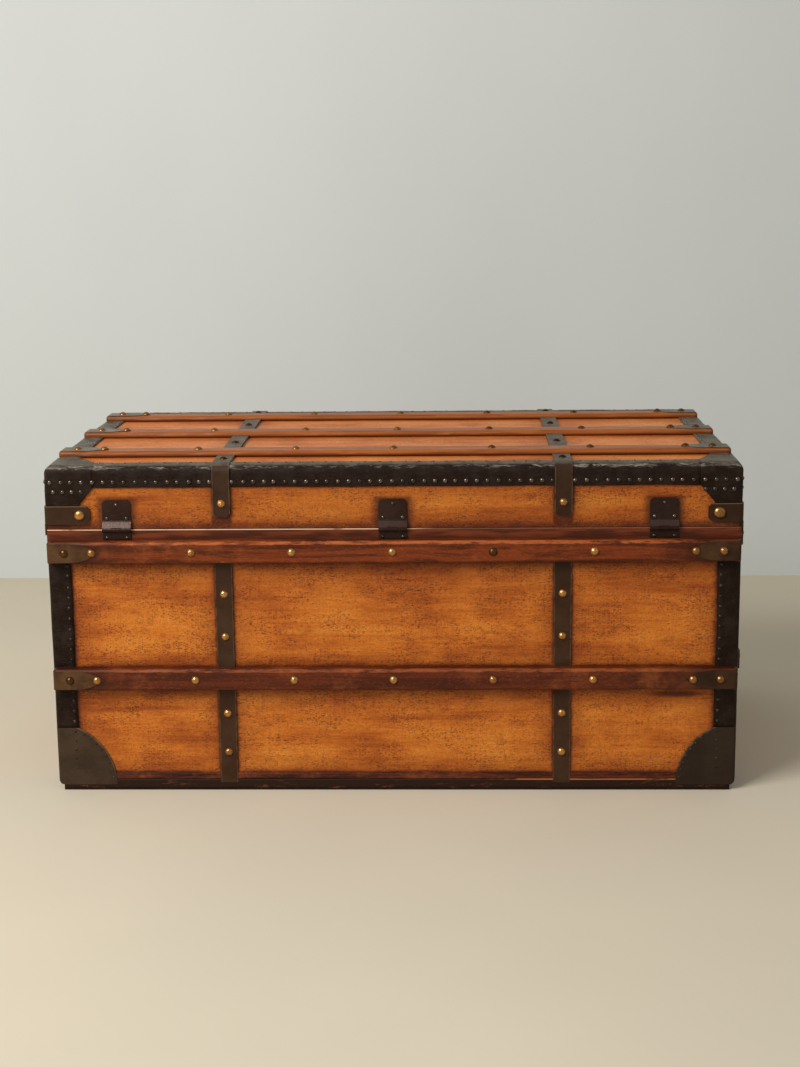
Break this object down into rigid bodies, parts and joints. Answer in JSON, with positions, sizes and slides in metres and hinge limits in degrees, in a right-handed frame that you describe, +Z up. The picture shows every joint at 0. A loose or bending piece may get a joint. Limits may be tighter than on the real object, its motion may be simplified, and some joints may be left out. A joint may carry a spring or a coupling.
{
  "type": "travel trunk",
  "caption": "Flat-lidded wooden travel trunk bound in leather and iron, with battens round the body, slats on a hinged lid, box lock, clasps and end handles.",
  "frame": {"origin": "middle of the trunk's outline on the floor, halfway between the outermost nail heads of the ends and of the back and front", "axes": "+X along the trunk to the right when its hinge side faces the viewer, -Y out of the hinge side, +Y out of the lock side, +Z up"},
  "size_m": [0.937, 0.537, 0.4525],
  "materials": {
    "panel_wood": "old varnish, satin, stained",
    "batten_wood": "dark varnish, worn edges",
    "dark_leather": "black-brown, creased and chipped",
    "red_leather": "dark red, worn",
    "dark_iron": "dark oxidised sheet, dull",
    "old_brass": "tarnished"
  },
  "bodies": {
    "body": {"body_bottom": "panel_wood", "body_back_panel": "panel_wood", "body_front_panel": "panel_wood", "body_left_end": "panel_wood", "body_right_end": "panel_wood", "bottom_runners": "batten_wood", "rim_strips": "batten_wood", "corner_bindings_back": "dark_leather", "corner_bindings_front": "dark_leather", "corner_plates_back": "dark_iron", "corner_plates_front": "dark_iron", "straps_back": "dark_iron", "straps_front": "dark_iron", "bottom_binding": "dark_leather", "bottom_moulding": "red_leather", "batten_caps_back": "dark_iron", "batten_caps_front": "dark_iron", "batten_back_upper": "batten_wood", "batten_back_lower": "batten_wood", "batten_front_lower": "batten_wood", "battens_front_upper": "batten_wood", "battens_left_end": "batten_wood", "battens_right_end": "batten_wood", "batten_caps_ends": "dark_iron", "hinge_body_leaves": "dark_iron", "hinge_pins": "dark_iron", "lock_case": "dark_iron", "clasp_bases": "dark_iron", "clasp_pins": "dark_iron", "handle_right_brackets": "dark_iron", "handle_left_brackets": "dark_iron", "brass_nails_body": "old_brass"},
    "lid": {"lid_top": "panel_wood", "lid_back_rail": "panel_wood", "lid_front_rail": "panel_wood", "lid_left_end": "panel_wood", "lid_right_end": "panel_wood", "lid_corner_leathers": "dark_leather", "lid_binding_back": "dark_leather", "lid_binding_front": "dark_leather", "lid_binding_ends": "dark_leather", "lid_straps": "dark_iron", "lid_bands": "dark_iron", "lid_valances": "dark_iron", "slat_back": "batten_wood", "slat_middle": "batten_wood", "slat_front": "batten_wood", "slat_caps": "dark_iron", "hinge_lid_leaves": "dark_iron", "lock_keeper": "dark_iron", "clasp_studs": "dark_iron", "brass_nails_lid": "old_brass"},
    "lock_bolt": {"lock_bolt": "dark_iron"},
    "clasp_left": {"clasp_left_lever": "dark_iron"},
    "clasp_right": {"clasp_right_lever": "dark_iron"},
    "handle_left": {"handle_left_loops": "dark_iron", "handle_left_grip": "dark_leather"},
    "handle_right": {"handle_right_loops": "dark_iron", "handle_right_grip": "dark_leather"}
  },
  "joints": [
    {"name": "lid_hinge", "type": "hinge", "parent": "body", "child": "lid", "pos_m": [0, -0.2535, 0.356], "axis": [1, 0, 0], "range_deg": [0, 135]},
    {"name": "lock_bolt_slide", "type": "slide", "parent": "body", "child": "lock_bolt", "axis": [1, 0, 0], "range_m": [0, 0.014]},
    {"name": "clasp_left_hinge", "type": "hinge", "parent": "body", "child": "clasp_left", "pos_m": [-0.3, 0.255, 0.304], "axis": [1, 0, 0], "range_deg": [0, 180]},
    {"name": "clasp_right_hinge", "type": "hinge", "parent": "body", "child": "clasp_right", "pos_m": [0.3, 0.255, 0.304], "axis": [1, 0, 0], "range_deg": [0, 180]},
    {"name": "handle_left_hinge", "type": "hinge", "parent": "body", "child": "handle_left", "pos_m": [-0.455, 0, 0.262], "axis": [0, 1, 0], "range_deg": [0, 150]},
    {"name": "handle_right_hinge", "type": "hinge", "parent": "body", "child": "handle_right", "pos_m": [0.455, 0, 0.262], "axis": [0, -1, 0], "range_deg": [0, 150]}
  ]
}
